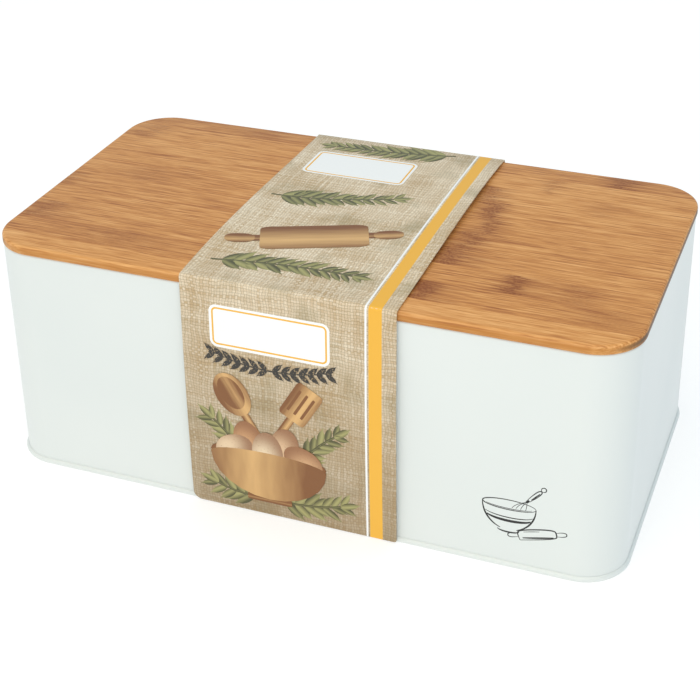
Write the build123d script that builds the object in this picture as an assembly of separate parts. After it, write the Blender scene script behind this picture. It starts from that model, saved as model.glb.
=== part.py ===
"""Bread box: an enamelled steel tin, a lid of glued bamboo staves and a card sleeve.

Millimetres. +X runs along the box, +Y towards its back and +Z up. The origin is under the
middle of the box, on the surface that the tin stands on.
"""
import os

from build123d import *

# Steel tin, measured over the outside of its wall
TIN_LENGTH = 327.2
TIN_DEPTH = 176.4
TIN_CORNER = 22.6
RIM_HEIGHT = 124.45
SHEET = 0.4

# Hem: the top of the wall is turned inwards and down into a round rim
HEM_GAP = 2.2
HEM_BEND = 1.4
HEM_EASE = 0.8
HEM_DROP = 4.5

# Lap: the two ends of the wall sheet overlap inside the middle of the back
LAP_WIDTH = 6.0
LAP_MARGIN = 6.0

# Double seam: wall and base hook into each other round the foot of the tin
SEAM_GAP = 0.06
SEAM_HEIGHT = 3.2
SEAM_BEND = 0.55
HOOK_CLEARANCE = 0.2
HOOK_OVERLAP = 1.3

# Base pan: a flat floor, raised in the middle by a pressed step that stiffens it
PAN_HEIGHT = 4.2
STEP_INSET = 14.0
STEP_WIDTH = 2.0
STEP_RISE = 1.2
PLATE_INSET = 18.0

# Bamboo lid: an upper ply that lies on the rim and a lower ply that drops inside it
LID_LENGTH = 328.4
LID_DEPTH = 177.7
LID_CORNER = 24.0
LID_SEAT_GAP = 0.05
UPPER_PLY = 4.6
LOWER_PLY = 6.0
PLUG_INSET = 5.0
STAVE_WIDTH = 18.5
UPPER_STAVES = 10
LOWER_STAVES = 9
TOP_ROUND = 1.6
UNDER_EASE = 0.3
PLUG_EASE = 0.6

# Card sleeve: one strip, creased over the long edges of the lid, open underneath
SLEEVE_WIDTH = 109.7
CARD = 0.5
SLEEVE_TOP_GAP = 0.5
SLEEVE_CROWN = 0.8
SLEEVE_CROWN_RADIUS = 4000.0
SLEEVE_CREASE = 1.3
SLEEVE_LID_GAP = 0.9
SLEEVE_SEAM_GAP = 0.45
SLEEVE_FOOT = 0.5
SLEEVE_CORNER = 2.5

# Faces of the sheets in the seam, as distances out from the wall's outer face
SEAM_PITCH = SHEET + SEAM_GAP
END_HOOK_BACK = SEAM_GAP
BODY_HOOK_FACE = 2 * SEAM_PITCH
SEAM_REACH = 3 * SEAM_PITCH
CHUCK_WALL_FACE = -SHEET - SEAM_PITCH

LID_UNDERSIDE = RIM_HEIGHT + LID_SEAT_GAP
LID_TOP = LID_UNDERSIDE + UPPER_PLY


def sheet_section(face_line, side):
    """Section of a folded sheet that lies on one side of a line along one of its faces."""
    line = Polyline(*face_line).wire()
    outline = line.offset_2d(SHEET, kind=Kind.INTERSECTION, side=side, closed=True)
    return make_face(outline.edges())


def nearest(section, points):
    """The section's corners at the given points."""
    return [section.vertices().sort_by_distance(point)[0] for point in points]


def carried_round(section):
    """Solid of a section that runs once round the tin: four straight runs and four corners.

    The section's x is the distance out from the wall's outer face, its y the height.
    """
    run_x = TIN_LENGTH - 2 * TIN_CORNER
    run_y = TIN_DEPTH - 2 * TIN_CORNER
    corners = [(1, 1, run_x), (-1, 1, run_y), (-1, -1, run_x), (1, -1, run_y)]
    pieces = []
    for quarter, (side_x, side_y, run) in enumerate(corners):
        centre = Vector(side_x * run_x / 2, side_y * run_y / 2, 0)
        outward = Vector(1, 0, 0).rotate(Axis.Z, 90 * quarter)
        onward = outward.rotate(Axis.Z, 90)
        corner_start = Plane(centre + outward * TIN_CORNER, x_dir=outward, z_dir=-onward)
        run_start = Plane(centre + onward * TIN_CORNER, x_dir=onward, z_dir=outward)
        pieces.append(revolve(corner_start * section, Axis(centre, (0, 0, 1)), 90))
        pieces.append(extrude(run_start * section, run, dir=-outward))
    return pieces[0].fuse(*pieces[1:])


def tin_wall():
    """Wall sheet: body hook in the seam, upright wall, hemmed rim, lap inside the back."""
    hook_foot = SHEET + SEAM_GAP
    hook_top = SEAM_HEIGHT - SHEET - HOOK_CLEARANCE
    hem_top = RIM_HEIGHT - SHEET
    hem_face = -SHEET - HEM_GAP
    inner_face = [
        (BODY_HOOK_FACE, hook_top),
        (BODY_HOOK_FACE, hook_foot),
        (-SHEET, hook_foot),
        (-SHEET, hem_top),
        (hem_face, hem_top),
        (hem_face, hem_top - HEM_DROP),
    ]
    section = sheet_section(inner_face, Side.RIGHT)
    hidden_corners = nearest(section, [(-SHEET, hem_top), (hem_face, hem_top)])
    section = chamfer(hidden_corners, HEM_EASE)
    rim_corners = nearest(section, [(0, RIM_HEIGHT), (hem_face - SHEET, RIM_HEIGHT)])
    wall = carried_round(fillet(rim_corners, HEM_BEND))
    lap_height = RIM_HEIGHT - 2 * LAP_MARGIN
    lap = Box(LAP_WIDTH, 1.5 * SHEET, lap_height, align=(Align.CENTER, Align.MAX, Align.MIN))
    return wall + Pos(0, TIN_DEPTH / 2 - SHEET / 2, LAP_MARGIN) * lap


def tin_base():
    """Base pan: end hook behind the wall's hook, foot of the seam, chuck wall, stepped floor."""
    floor_height = PAN_HEIGHT + STEP_RISE
    under_face = [
        (-PLATE_INSET, floor_height),
        (-STEP_INSET - STEP_WIDTH, floor_height),
        (-STEP_INSET, PAN_HEIGHT),
        (CHUCK_WALL_FACE, PAN_HEIGHT),
        (CHUCK_WALL_FACE, 0),
        (SEAM_REACH, 0),
        (SEAM_REACH, SEAM_HEIGHT),
        (END_HOOK_BACK, SEAM_HEIGHT),
        (END_HOOK_BACK, SEAM_HEIGHT - SHEET - HOOK_OVERLAP),
    ]
    section = sheet_section(under_face, Side.LEFT)
    bead_corners = nearest(section, [(SEAM_REACH, SEAM_HEIGHT), (SEAM_REACH, 0)])
    rim = carried_round(fillet(bead_corners, SEAM_BEND))
    plate_outline = RectangleRounded(
        TIN_LENGTH - 2 * PLATE_INSET, TIN_DEPTH - 2 * PLATE_INSET, TIN_CORNER - PLATE_INSET
    )
    return rim + Pos(0, 0, floor_height) * extrude(plate_outline, SHEET)


def staves(ply, depth, count):
    """Cut a ply into staves along X, the first at the back. The outer two take what is left."""
    joints = [(count / 2 - number) * STAVE_WIDTH for number in range(1, count)]
    edges = [depth / 2] + joints + [-depth / 2]
    length = 2 * LID_LENGTH
    height = 2 * LID_TOP
    return [
        ply & Pos(0, (back + front) / 2, LID_TOP) * Box(length, back - front, height)
        for back, front in zip(edges, edges[1:])
    ]


def upper_staves():
    """Upper ply of the lid: rounded top edge, eased underside."""
    outline = RectangleRounded(LID_LENGTH, LID_DEPTH, LID_CORNER)
    ply = Pos(0, 0, LID_UNDERSIDE) * extrude(outline, UPPER_PLY)
    ply = chamfer(ply.faces().sort_by(Axis.Z)[0].edges(), UNDER_EASE)
    ply = fillet(ply.faces().sort_by(Axis.Z)[-1].edges(), TOP_ROUND)
    return staves(ply, LID_DEPTH, UPPER_STAVES)


def lower_staves():
    """Lower ply of the lid, cut smaller so that it drops into the rim, with an eased foot."""
    depth = LID_DEPTH - 2 * PLUG_INSET
    outline = RectangleRounded(LID_LENGTH - 2 * PLUG_INSET, depth, LID_CORNER - PLUG_INSET)
    ply = Pos(0, 0, LID_UNDERSIDE - LOWER_PLY) * extrude(outline, LOWER_PLY)
    ply = chamfer(ply.faces().sort_by(Axis.Z)[0].edges(), PLUG_EASE)
    return staves(ply, depth, LOWER_STAVES)


def card_sleeve():
    """Card strip: slightly crowned top, a crease at each long lid edge, two skirts with round corners."""
    foot_half = TIN_DEPTH / 2 + SEAM_REACH + SLEEVE_SEAM_GAP
    edge_half = LID_DEPTH / 2 + SLEEVE_LID_GAP
    top = LID_TOP + SLEEVE_TOP_GAP
    inner_face = FilletPolyline(
        (-foot_half, SLEEVE_FOOT),
        (-edge_half, top),
        (0, top + SLEEVE_CROWN),
        (edge_half, top),
        (foot_half, SLEEVE_FOOT),
        radius=[SLEEVE_CREASE, SLEEVE_CROWN_RADIUS, SLEEVE_CREASE],
    )
    outline = inner_face.wire().offset_2d(CARD, side=Side.LEFT, closed=True)
    section = Plane.YZ * make_face(outline.edges())
    strip = extrude(section, SLEEVE_WIDTH / 2, both=True)
    short_edges = strip.edges().filter_by(lambda edge: edge.length < 2 * CARD)
    foot_corners = [edge for edge in short_edges if edge.center().Z < SLEEVE_FOOT + CARD]
    return fillet(foot_corners, SLEEVE_CORNER)


nodes = {
    "tin_wall": tin_wall(),
    "tin_base": tin_base(),
    "card_sleeve": card_sleeve(),
}
for number, stave in enumerate(upper_staves(), start=1):
    nodes[f"lid_stave_{number:02d}"] = stave
for number, stave in enumerate(lower_staves(), start=1):
    nodes[f"lid_plug_stave_{number:02d}"] = stave

os.makedirs("parts", exist_ok=True)
for name, solid in nodes.items():
    export_step(solid, f"parts/{name}.step")
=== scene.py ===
"""Bread box: the looks of an enamelled tin, its bamboo lid and its printed card sleeve.

Lengths are metres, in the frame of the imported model: +X along the box, +Y to its back, +Z up.
"""

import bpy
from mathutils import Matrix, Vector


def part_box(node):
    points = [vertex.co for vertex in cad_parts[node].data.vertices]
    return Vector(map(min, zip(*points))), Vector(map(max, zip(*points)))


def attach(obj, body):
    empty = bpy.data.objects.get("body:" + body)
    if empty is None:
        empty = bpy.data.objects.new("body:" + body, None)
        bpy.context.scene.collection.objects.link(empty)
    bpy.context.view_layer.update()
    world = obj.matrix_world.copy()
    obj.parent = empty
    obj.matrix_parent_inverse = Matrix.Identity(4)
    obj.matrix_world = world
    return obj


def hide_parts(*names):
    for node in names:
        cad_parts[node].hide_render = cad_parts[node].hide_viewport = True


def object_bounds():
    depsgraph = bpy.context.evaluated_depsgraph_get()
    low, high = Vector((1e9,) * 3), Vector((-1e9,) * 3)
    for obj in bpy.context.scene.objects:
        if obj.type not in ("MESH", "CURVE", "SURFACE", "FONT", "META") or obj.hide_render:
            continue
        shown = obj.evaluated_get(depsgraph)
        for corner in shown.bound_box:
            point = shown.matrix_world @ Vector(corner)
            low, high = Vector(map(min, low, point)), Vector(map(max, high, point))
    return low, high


bl_info = {
    "name": "Bread Box",
    "version": (1, 0, 0),
    "blender": (4, 5, 0),
    "location": "View3D > Sidebar > Bread Box",
    "description": "Dresses a bread box: an enamelled tin, a bamboo lid and a printed card sleeve",
    "category": "Add Mesh",
}

import math
import random
from types import SimpleNamespace

import bmesh
import bpy
from bpy.props import FloatProperty, FloatVectorProperty, PointerProperty
from mathutils import Matrix, Vector

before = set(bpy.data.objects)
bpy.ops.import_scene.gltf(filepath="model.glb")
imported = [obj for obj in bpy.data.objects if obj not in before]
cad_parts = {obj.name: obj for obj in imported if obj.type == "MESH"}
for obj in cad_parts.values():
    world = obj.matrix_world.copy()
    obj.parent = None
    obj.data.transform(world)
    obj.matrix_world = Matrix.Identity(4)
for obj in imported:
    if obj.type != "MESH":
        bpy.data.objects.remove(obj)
CAD_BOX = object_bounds()

MM = 0.001
MERGE = 0.002 * MM
SHARP_ANGLE = math.radians(32)

# Steps in a corner's quarter turn, a bend, a crease of the card, and the eased edges of ply, joint and lap
CORNER_STEPS = 24
BEND_STEPS = 6
CREASE_STEPS = 8
TOP_STEPS = 4
FOOT_STEPS = 2
JOINT_STEPS = 1
LAP_STEPS = 3

# Share of the hem's gap that each of its bends takes, and of the sheet that the lap's edges take
HEM_ROUND = 0.48
LAP_EASE = 0.3

# Blank labels on the sleeve: corner radius, distance of the frame line from the edge, and its width
LABEL_CORNER = 4 * MM
FRAME_INSET = 1.8 * MM
FRAME_WIDTH = 0.9 * MM

# Printed sprigs in mm: spacing of the pairs, longest leaf, leaf at the tip, width of the stem
PAIR_SPACING = 5.5
LEAF_LENGTH = 13
TIP_LEAF = (9, 3.8)
STEM_WIDTH = 1.3

# Width of a leaf and of an egg as a share of its length, and how much a sprig's leaves shrink
LEAF_WIDTH = 0.42
EGG_WIDTH = 0.84
LEAF_SHRINK = 0.45

# Sockets of a Mix node: its factor, its two colours and its two numbers
MIX_FACTOR = 0
MIX_A = 6
MIX_B = 7
NUMBER_A = 2
NUMBER_B = 3

UPPER_STAVES = [f"lid_stave_{number:02d}" for number in range(1, 11)]
PLUG_STAVES = [f"lid_plug_stave_{number:02d}" for number in range(1, 10)]

# Marks that a stave can have
KNUCKLES = 3

# Upper staves from the back to the front: tone, then marks as (place along X in mm, strength, reach in mm)
UPPER_LOOKS = [
    (-0.04, [(123, 0.95, 9), (-84, 0.30, 26)]),
    (0.05, [(88, 0.45, 6), (-152, 0.55, 9)]),
    (0.05, [(58, 0.80, 10), (119, 0.25, 8)]),
    (0.02, [(65, 1.00, 9)]),
    (0.00, [(68, 0.85, 9), (-127, 0.25, 12)]),
    (0.00, [(63, 0.90, 10), (-163, 0.55, 8)]),
    (0.00, [(61, 1.00, 12)]),
    (-0.02, [(98, 1.10, 9), (-155, 0.60, 16), (127, 0.40, 14)]),
    (-0.03, [(57, 1.15, 13), (-100, 0.32, 34), (146, 0.30, 22)]),
    (0.07, []),
]


def linear(hex_colour):
    """An sRGB hex colour as linear red, green and blue with full alpha."""
    channels = [int(hex_colour[start:start + 2], 16) / 255 for start in (0, 2, 4)]
    return [c / 12.92 if c <= 0.04045 else ((c + 0.055) / 1.055) ** 2.4 for c in channels] + [1.0]


def length(name, description, millimetres):
    """A length that a user may change, in metres."""
    return FloatProperty(
        name=name, description=description, default=millimetres * MM, unit="LENGTH", precision=5
    )


def colour(name, description, hex_colour):
    """A colour that a user may change."""
    return FloatVectorProperty(
        name=name, description=description, default=linear(hex_colour), size=4, min=0, max=1, subtype="COLOR"
    )


def angle(name, description, degrees):
    """An angle that a user may change, in radians."""
    return FloatProperty(name=name, description=description, default=math.radians(degrees), subtype="ANGLE")


class TinSettings(bpy.types.PropertyGroup):
    """Sizes and colours of the steel tin."""

    sheet: length("Sheet", "Thickness of the sheet steel", 0.4)
    corner: length("Corner radius", "Radius of the wall's outer face at the corners", 22.6)
    seam_gap: length("Seam gap", "Gap between the folded layers of the seam", 0.06)
    seam_height: length("Seam height", "Height of the bead round the foot", 2.7)
    seam_bend: length("Seam bend", "Radius of the bead's outer edges", 1.0)
    seam_slope: length("Seam slope", "Drop of the bead's top from the wall to its outer edge", 0.7)
    hook_clearance: length("Hook clearance", "Gap over the wall's hook in the seam", 0.55)
    hook_overlap: length("Hook overlap", "Length of the base's hook behind the wall's", 1.3)
    hem_gap: length("Hem gap", "Clear width inside the hem round the rim", 2.2)
    hem_drop: length("Hem drop", "Length of the hem's inner leg", 4.5)
    pan_height: length("Pan height", "Height of the base pan's edge over the foot", 4.2)
    step_inset: length("Step inset", "Distance of the pressed step from the wall", 14)
    step_width: length("Step width", "Width of the pressed step's slope", 2)
    step_rise: length("Step rise", "Height of the pressed step", 1.2)
    plate_inset: length("Plate inset", "Distance of the flat floor from the wall", 18)
    lap_width: length("Lap width", "Width of the wall's welded lap inside the back", 6)
    lap_margin: length("Lap margin", "Distance of the lap from rim and foot", 6)
    enamel: colour("Enamel", "Colour of the enamel", "E4E7E3")
    enamel_shade: colour("Enamel shade", "Second tone of the enamel's faint clouding", "DDE2DF")
    ink: colour("Ink", "Colour of the line drawing", "1D1D1B")
    ink_thin: colour("Thin ink", "Colour of the line drawing where its ink is thin", "5A5A56")


class LidSettings(bpy.types.PropertyGroup):
    """Sizes and colours of the bamboo lid."""

    corner: length("Corner radius", "Radius of the upper ply's corners", 24)
    plug_corner: length("Plug corner radius", "Radius of the lower ply's corners", 19)
    top_round: length("Top edge", "Radius of the upper edge", 1.6)
    under_ease: length("Lower edge", "Width of the eased lower edge", 0.3)
    plug_ease: length("Plug edge", "Width of the eased edge under the lower ply", 0.6)
    joint_ease: length("Joint edge", "Width of the eased edges along the glued joints", 0.06)
    dark: colour("Dark fibre", "Colour of the darkest fibres", "9E5D2B")
    middle: colour("Bamboo", "Colour of most of the bamboo", "D08F4B")
    light: colour("Light fibre", "Colour of the lightest fibres", "EDB370")
    knuckle: colour("Knuckle", "Colour of the knuckles", "8A4A16")
    # End and edge tints: partly the grain's own colour, partly painted shade on the lid's sideways faces
    end_grain_and_shade: colour("End grain", "Colour of the cut ends", "46300F")
    edge_grain_and_shade: colour("Edge grain", "Colour of the long edges", "BC7A28")


class SleeveSettings(bpy.types.PropertyGroup):
    """Sizes and colours of the card sleeve."""

    card: length("Card", "Thickness of the card", 0.5)
    crown: length("Crown", "Rise of the top panel in its middle", 0.63)
    curl: length("Curl", "Rise of the top panel's free edges, most at the back right", 1.5)
    bow: length("Bow", "Bulge of the hanging skirts", 0.9)
    crease: length("Crease", "Outer radius of the creases", 1.8)
    lid_gap: length("Lid gap", "Gap between the lid's long edges and the card", 0.9)
    round_corner: length("Rubbed corner", "Radius of the front skirt's left corner, rubbed round", 4.5)
    sharp_corner: length("Crisp corner", "Radius of the other corners", 1.2)
    thread: length("Thread", "Width of the threads in the printed linen", 1.5)
    stripe_place: length("Stripe place", "Middle of the amber stripe along X", 44.5)
    stripe_width: length("Stripe width", "Width of the amber stripe", 6.5)
    linen: colour("Linen", "Lightest threads of the printed linen", "F4E4C9")
    linen_shade: colour("Linen shade", "Darker threads of the printed linen", "C8AB80")
    linen_gap: colour("Linen gap", "Gaps between the threads", "7A623F")
    olive: colour("Olive", "Soft olive patches on the linen", "8F8459")
    amber: colour("Amber", "Stripe and frames", "F0B43A")
    label: colour("Label", "Blank labels", "F6F6F4")
    board: colour("Card core", "Raw card on edges and inside", "EFEBE4")
    board_fibre: colour("Card fibre", "Darker fibres in the raw card", "D8D2C6")
    wood_light: colour("Light wood", "Lit side of the printed utensils", "DDB073")
    wood_dark: colour("Dark wood", "Shaded side of the printed utensils", "835329")
    leaf_light: colour("Light leaf", "Lit side of the printed leaves", "A8A268")
    leaf_dark: colour("Dark leaf", "Shaded side of the printed leaves", "555230")
    eggshell: colour("Eggshell", "Lit side of the printed eggs", "EBD3B0")
    eggshell_brown: colour("Brown eggshell", "Lit side of the brown eggs", "CF9A68")
    egg_shade: colour("Egg shade", "Shaded side of the printed eggs", "8C5A36")
    charcoal: colour("Charcoal", "Printed garland", "34302B")


class StageSettings(bpy.types.PropertyGroup):
    """Camera, floor and background."""

    azimuth: angle("Azimuth", "Turn of the camera to the right of the front", 21.2589)
    elevation: angle("Elevation", "Height of the camera over the horizon", 26.5161)
    roll: angle("Roll", "Turn of the camera about its line of sight", -0.8833)
    distance: length("Distance", "Distance of the camera along its line of sight", 814.9976)
    aside: length("Aside", "Shift of the camera to its own right", -2.8367)
    upward: length("Upward", "Shift of the camera to its own top", 49.4583)
    focal: FloatProperty(name="Focal length", description="In pixels of the photograph", default=1533.3919)
    centre_row: FloatProperty(
        name="Centre row", description="Row of the line of sight, in pixels", default=230.0
    )
    floor: colour("Floor", "Pale floor", "C8C8C8")
    floor_shade: colour("Floor shade", "Second tone of the floor's faint clouding", "C6C6C6")
    surround: colour("Surround", "Light from all round", "D4EBFF")
    glow: FloatProperty(name="Glow", description="Light that the floor gives by itself", default=0.505)
    sun: colour("Sun", "Soft light from above and in front", "FFE9C2")
    lamp: colour("Lamp", "Light of the box in front", "FFFBF5")


class BreadBoxSettings(bpy.types.PropertyGroup):
    """All that a user may change."""

    tin: PointerProperty(type=TinSettings)
    lid: PointerProperty(type=LidSettings)
    sleeve: PointerProperty(type=SleeveSettings)
    stage: PointerProperty(type=StageSettings)


def add_node(tree, kind, inputs=None, **settings):
    """Add a shader node, set its options, and set or link its inputs.

    A node given as an input is linked by its first output in use.
    """
    node = tree.nodes.new("ShaderNode" + kind)
    for name, value in settings.items():
        setattr(node, name, value)
    for key, value in (inputs or {}).items():
        if isinstance(value, bpy.types.Node):
            value = next(socket for socket in value.outputs if socket.enabled)
        if isinstance(value, bpy.types.NodeSocket):
            tree.links.new(value, node.inputs[key])
        else:
            node.inputs[key].default_value = value
    return node


def start_material(name):
    """An empty node material and its tree."""
    material = bpy.data.materials.new(name)
    material.use_nodes = True
    material.node_tree.nodes.clear()
    return material, material.node_tree


def finish_material(tree, inputs):
    """Close a tree with a shader that has these inputs."""
    shader = add_node(tree, "BsdfPrincipled", inputs)
    add_node(tree, "OutputMaterial", {"Surface": shader})


def lay_coats(tree, body, coats):
    """Lay coats over a colour one after the other, each as (cover, paint)."""
    for cover, paint in coats:
        body = add_node(tree, "Mix", {MIX_FACTOR: cover, MIX_A: body, MIX_B: paint}, data_type="RGBA")
    return body


def satin_enamel(tin):
    """Powder enamel fired on sheet steel: an even soft gloss with a faint orange peel."""
    material, tree = start_material("satin_white_enamel")
    place = add_node(tree, "TexCoord").outputs["Object"]
    cloud = add_node(tree, "TexNoise", {"Vector": place, "Scale": 1 / (80 * MM), "Detail": 2.0})
    tint = add_node(tree, "Mix", {
        MIX_FACTOR: cloud, MIX_A: tin.enamel, MIX_B: tin.enamel_shade,
    }, data_type="RGBA")
    # Real orange peel is about 1 mm, drawn a little coarser so that it shows
    peel = add_node(tree, "TexNoise", {"Vector": place, "Scale": 1 / (2.2 * MM), "Detail": 1.0})
    relief = add_node(tree, "Bump", {"Height": peel, "Strength": 0.25, "Distance": 0.02 * MM})
    gloss = add_node(tree, "MapRange", {"Value": cloud, "To Min": 0.30, "To Max": 0.38})
    finish_material(tree, {"Base Color": tint, "Roughness": gloss, "Normal": relief, "IOR": 1.5})
    return material


def screen_ink(tin):
    """Screen-printed black ink: matt, a touch thinner in places."""
    material, tree = start_material("black_screen_ink")
    place = add_node(tree, "TexCoord").outputs["Object"]
    thin = add_node(tree, "TexNoise", {"Vector": place, "Scale": 1 / (0.8 * MM), "Detail": 2.0})
    faded = add_node(tree, "MapRange", {"Value": thin, "From Min": 0.5, "From Max": 0.8, "To Max": 0.35})
    tint = add_node(tree, "Mix", {
        MIX_FACTOR: faded, MIX_A: tin.ink, MIX_B: tin.ink_thin,
    }, data_type="RGBA")
    finish_material(tree, {"Base Color": tint, "Roughness": 0.55, "IOR": 1.5})
    return material


def carbonised_bamboo(lid):
    """Flat-pressed carbonised bamboo, sanded and oiled: straight fibres, toned staves, dark knuckles."""
    material, tree = start_material("carbonised_bamboo")
    coordinates = add_node(tree, "TexCoord")
    place = coordinates.outputs["Object"]
    seed, tone, across = [
        add_node(tree, "Attribute", attribute_name=name).outputs["Fac"]
        for name in ("seed", "tone", "across")
    ]
    shift = add_node(tree, "CombineXYZ", {"X": seed, "Y": seed, "Z": seed})
    local = add_node(tree, "VectorMath", {0: place, 1: shift}, operation="ADD")

    # Layers of fibre as (length, width, weight), in mm: the finest is drawn coarser than real fibres
    shade = tone
    for run, width, weight in ((110, 8.0, 0.30), (45, 1.4, 0.45), (22, 0.9, 0.75), (9, 0.6, 0.45)):
        scale = (1 / (run * MM), 1 / (width * MM), 1 / (width * MM))
        stretched = add_node(tree, "Mapping", {"Vector": local, "Scale": scale})
        fibre = add_node(tree, "TexNoise", {
            "Vector": stretched, "Scale": 1.0, "Detail": 2.0, "Roughness": 0.55,
        })
        shade = add_node(tree, "Math", {0: fibre, 1: weight, 2: shade}, operation="MULTIPLY_ADD")
    darker = add_node(tree, "MapRange", {
        "Value": shade, "From Min": 0.71, "From Max": 0.98, "To Min": 1.0, "To Max": 0.0,
    })
    lighter = add_node(tree, "MapRange", {"Value": shade, "From Min": 0.98, "From Max": 1.25})
    coats = [(darker, lid.dark), (lighter, lid.light)]

    # Knuckles: reddish bands, drawn out unevenly along the fibres and flecked with cut vessels
    drawn = add_node(tree, "SeparateXYZ", {0: place}).outputs["X"]
    for run, width, amount in ((12, 9.0, 6), (24, 1.2, 20)):
        scale = (1 / (run * MM), 1 / (width * MM), 1 / (width * MM))
        stretched = add_node(tree, "Mapping", {"Vector": local, "Scale": scale})
        sway = add_node(tree, "TexNoise", {"Vector": stretched, "Scale": 1.0, "Detail": 2.0})
        moved = add_node(tree, "MapRange", {"Value": sway, "To Min": -amount * MM, "To Max": amount * MM})
        drawn = add_node(tree, "Math", {0: drawn, 1: moved}, operation="ADD")
    flecks = add_node(tree, "TexNoise", {"Vector": local, "Scale": 1 / (1.3 * MM), "Detail": 1.0})
    flecked = add_node(tree, "MapRange", {
        "Value": flecks, "From Min": 0.40, "From Max": 0.60, "To Min": 0.35,
    })
    for order in range(KNUCKLES):
        known = add_node(tree, "Attribute", attribute_name=f"knuckle_{order}").outputs["Vector"]
        middle, strength, reach = add_node(tree, "SeparateXYZ", {0: known}).outputs
        gap = add_node(tree, "Math", {0: drawn, 1: middle}, operation="SUBTRACT")
        share = add_node(tree, "Math", {0: gap, 1: reach}, operation="DIVIDE")
        off = add_node(tree, "Math", {0: share}, operation="ABSOLUTE")
        halo = add_node(tree, "MapRange", {
            "Value": off, "From Max": 1.9, "To Min": 0.45, "To Max": 0.0,
        }, interpolation_type="SMOOTHSTEP")
        core = add_node(tree, "MapRange", {
            "Value": off, "From Max": 0.85, "To Min": 0.55, "To Max": 0.0,
        }, interpolation_type="SMOOTHSTEP")
        dotted = add_node(tree, "Math", {0: core, 1: flecked, 2: halo}, operation="MULTIPLY_ADD")
        cover = add_node(tree, "Math", {0: dotted, 1: strength}, operation="MULTIPLY")
        coats.append((cover, lid.knuckle))

    # Glue line along each joint, drawn wider than the real hairline
    edge = add_node(tree, "Math", {0: across}, operation="ABSOLUTE")
    glue = add_node(tree, "MapRange", {"Value": edge, "From Min": 0.95, "From Max": 0.995, "To Max": 0.22})
    coats.append((glue, lid.dark))

    # Upright edges: golden along the fibres, darker where the fibres are cut across; both tints are partly
    # the bamboo's own grain and partly painted shade on the lid's sideways faces
    facing = add_node(tree, "SeparateXYZ", {0: coordinates.outputs["Normal"]})
    level, endways = [
        add_node(tree, "Math", {0: facing.outputs[axis]}, operation="ABSOLUTE") for axis in ("Z", "X")
    ]
    upright = add_node(tree, "Math", {0: 1.0, 1: level}, operation="SUBTRACT")
    cut_ends_and_shade = add_node(tree, "Math", {0: endways, 1: upright}, operation="MULTIPLY")
    for turned, least, enough, most, paint in (
        (upright, 0.7, 1.0, 0.60, lid.edge_grain_and_shade), (cut_ends_and_shade, 0.5, 0.95, 0.90, lid.end_grain_and_shade),
    ):
        cover = add_node(tree, "MapRange", {
            "Value": turned, "From Min": least, "From Max": enough, "To Max": most,
        })
        coats.append((cover, paint))

    body = lay_coats(tree, lid.middle, coats)
    gloss = add_node(tree, "MapRange", {
        "Value": shade, "From Min": 0.6, "From Max": 1.3, "To Min": 0.54, "To Max": 0.44,
    })
    relief = add_node(tree, "Bump", {"Height": shade, "Strength": 0.15, "Distance": 0.05 * MM})
    finish_material(tree, {"Base Color": body, "Roughness": gloss, "Normal": relief, "IOR": 1.45})
    return material


def raw_board(sleeve):
    """Unprinted back and cut edges of folding boxboard: off-white, with short fibres."""
    material, tree = start_material("raw_folding_boxboard")
    place = add_node(tree, "TexCoord").outputs["Object"]
    fibre = add_node(tree, "TexNoise", {
        "Vector": place, "Scale": 1 / (0.9 * MM), "Detail": 3.0, "Roughness": 0.7,
    })
    dirt = add_node(tree, "MapRange", {"Value": fibre, "From Min": 0.45, "To Max": 0.5})
    tint = add_node(tree, "Mix", {
        MIX_FACTOR: dirt, MIX_A: sleeve.board, MIX_B: sleeve.board_fibre,
    }, data_type="RGBA")
    relief = add_node(tree, "Bump", {"Height": fibre, "Strength": 0.3, "Distance": 0.03 * MM})
    finish_material(tree, {"Base Color": tint, "Roughness": 0.85, "Normal": relief})
    return material


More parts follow.
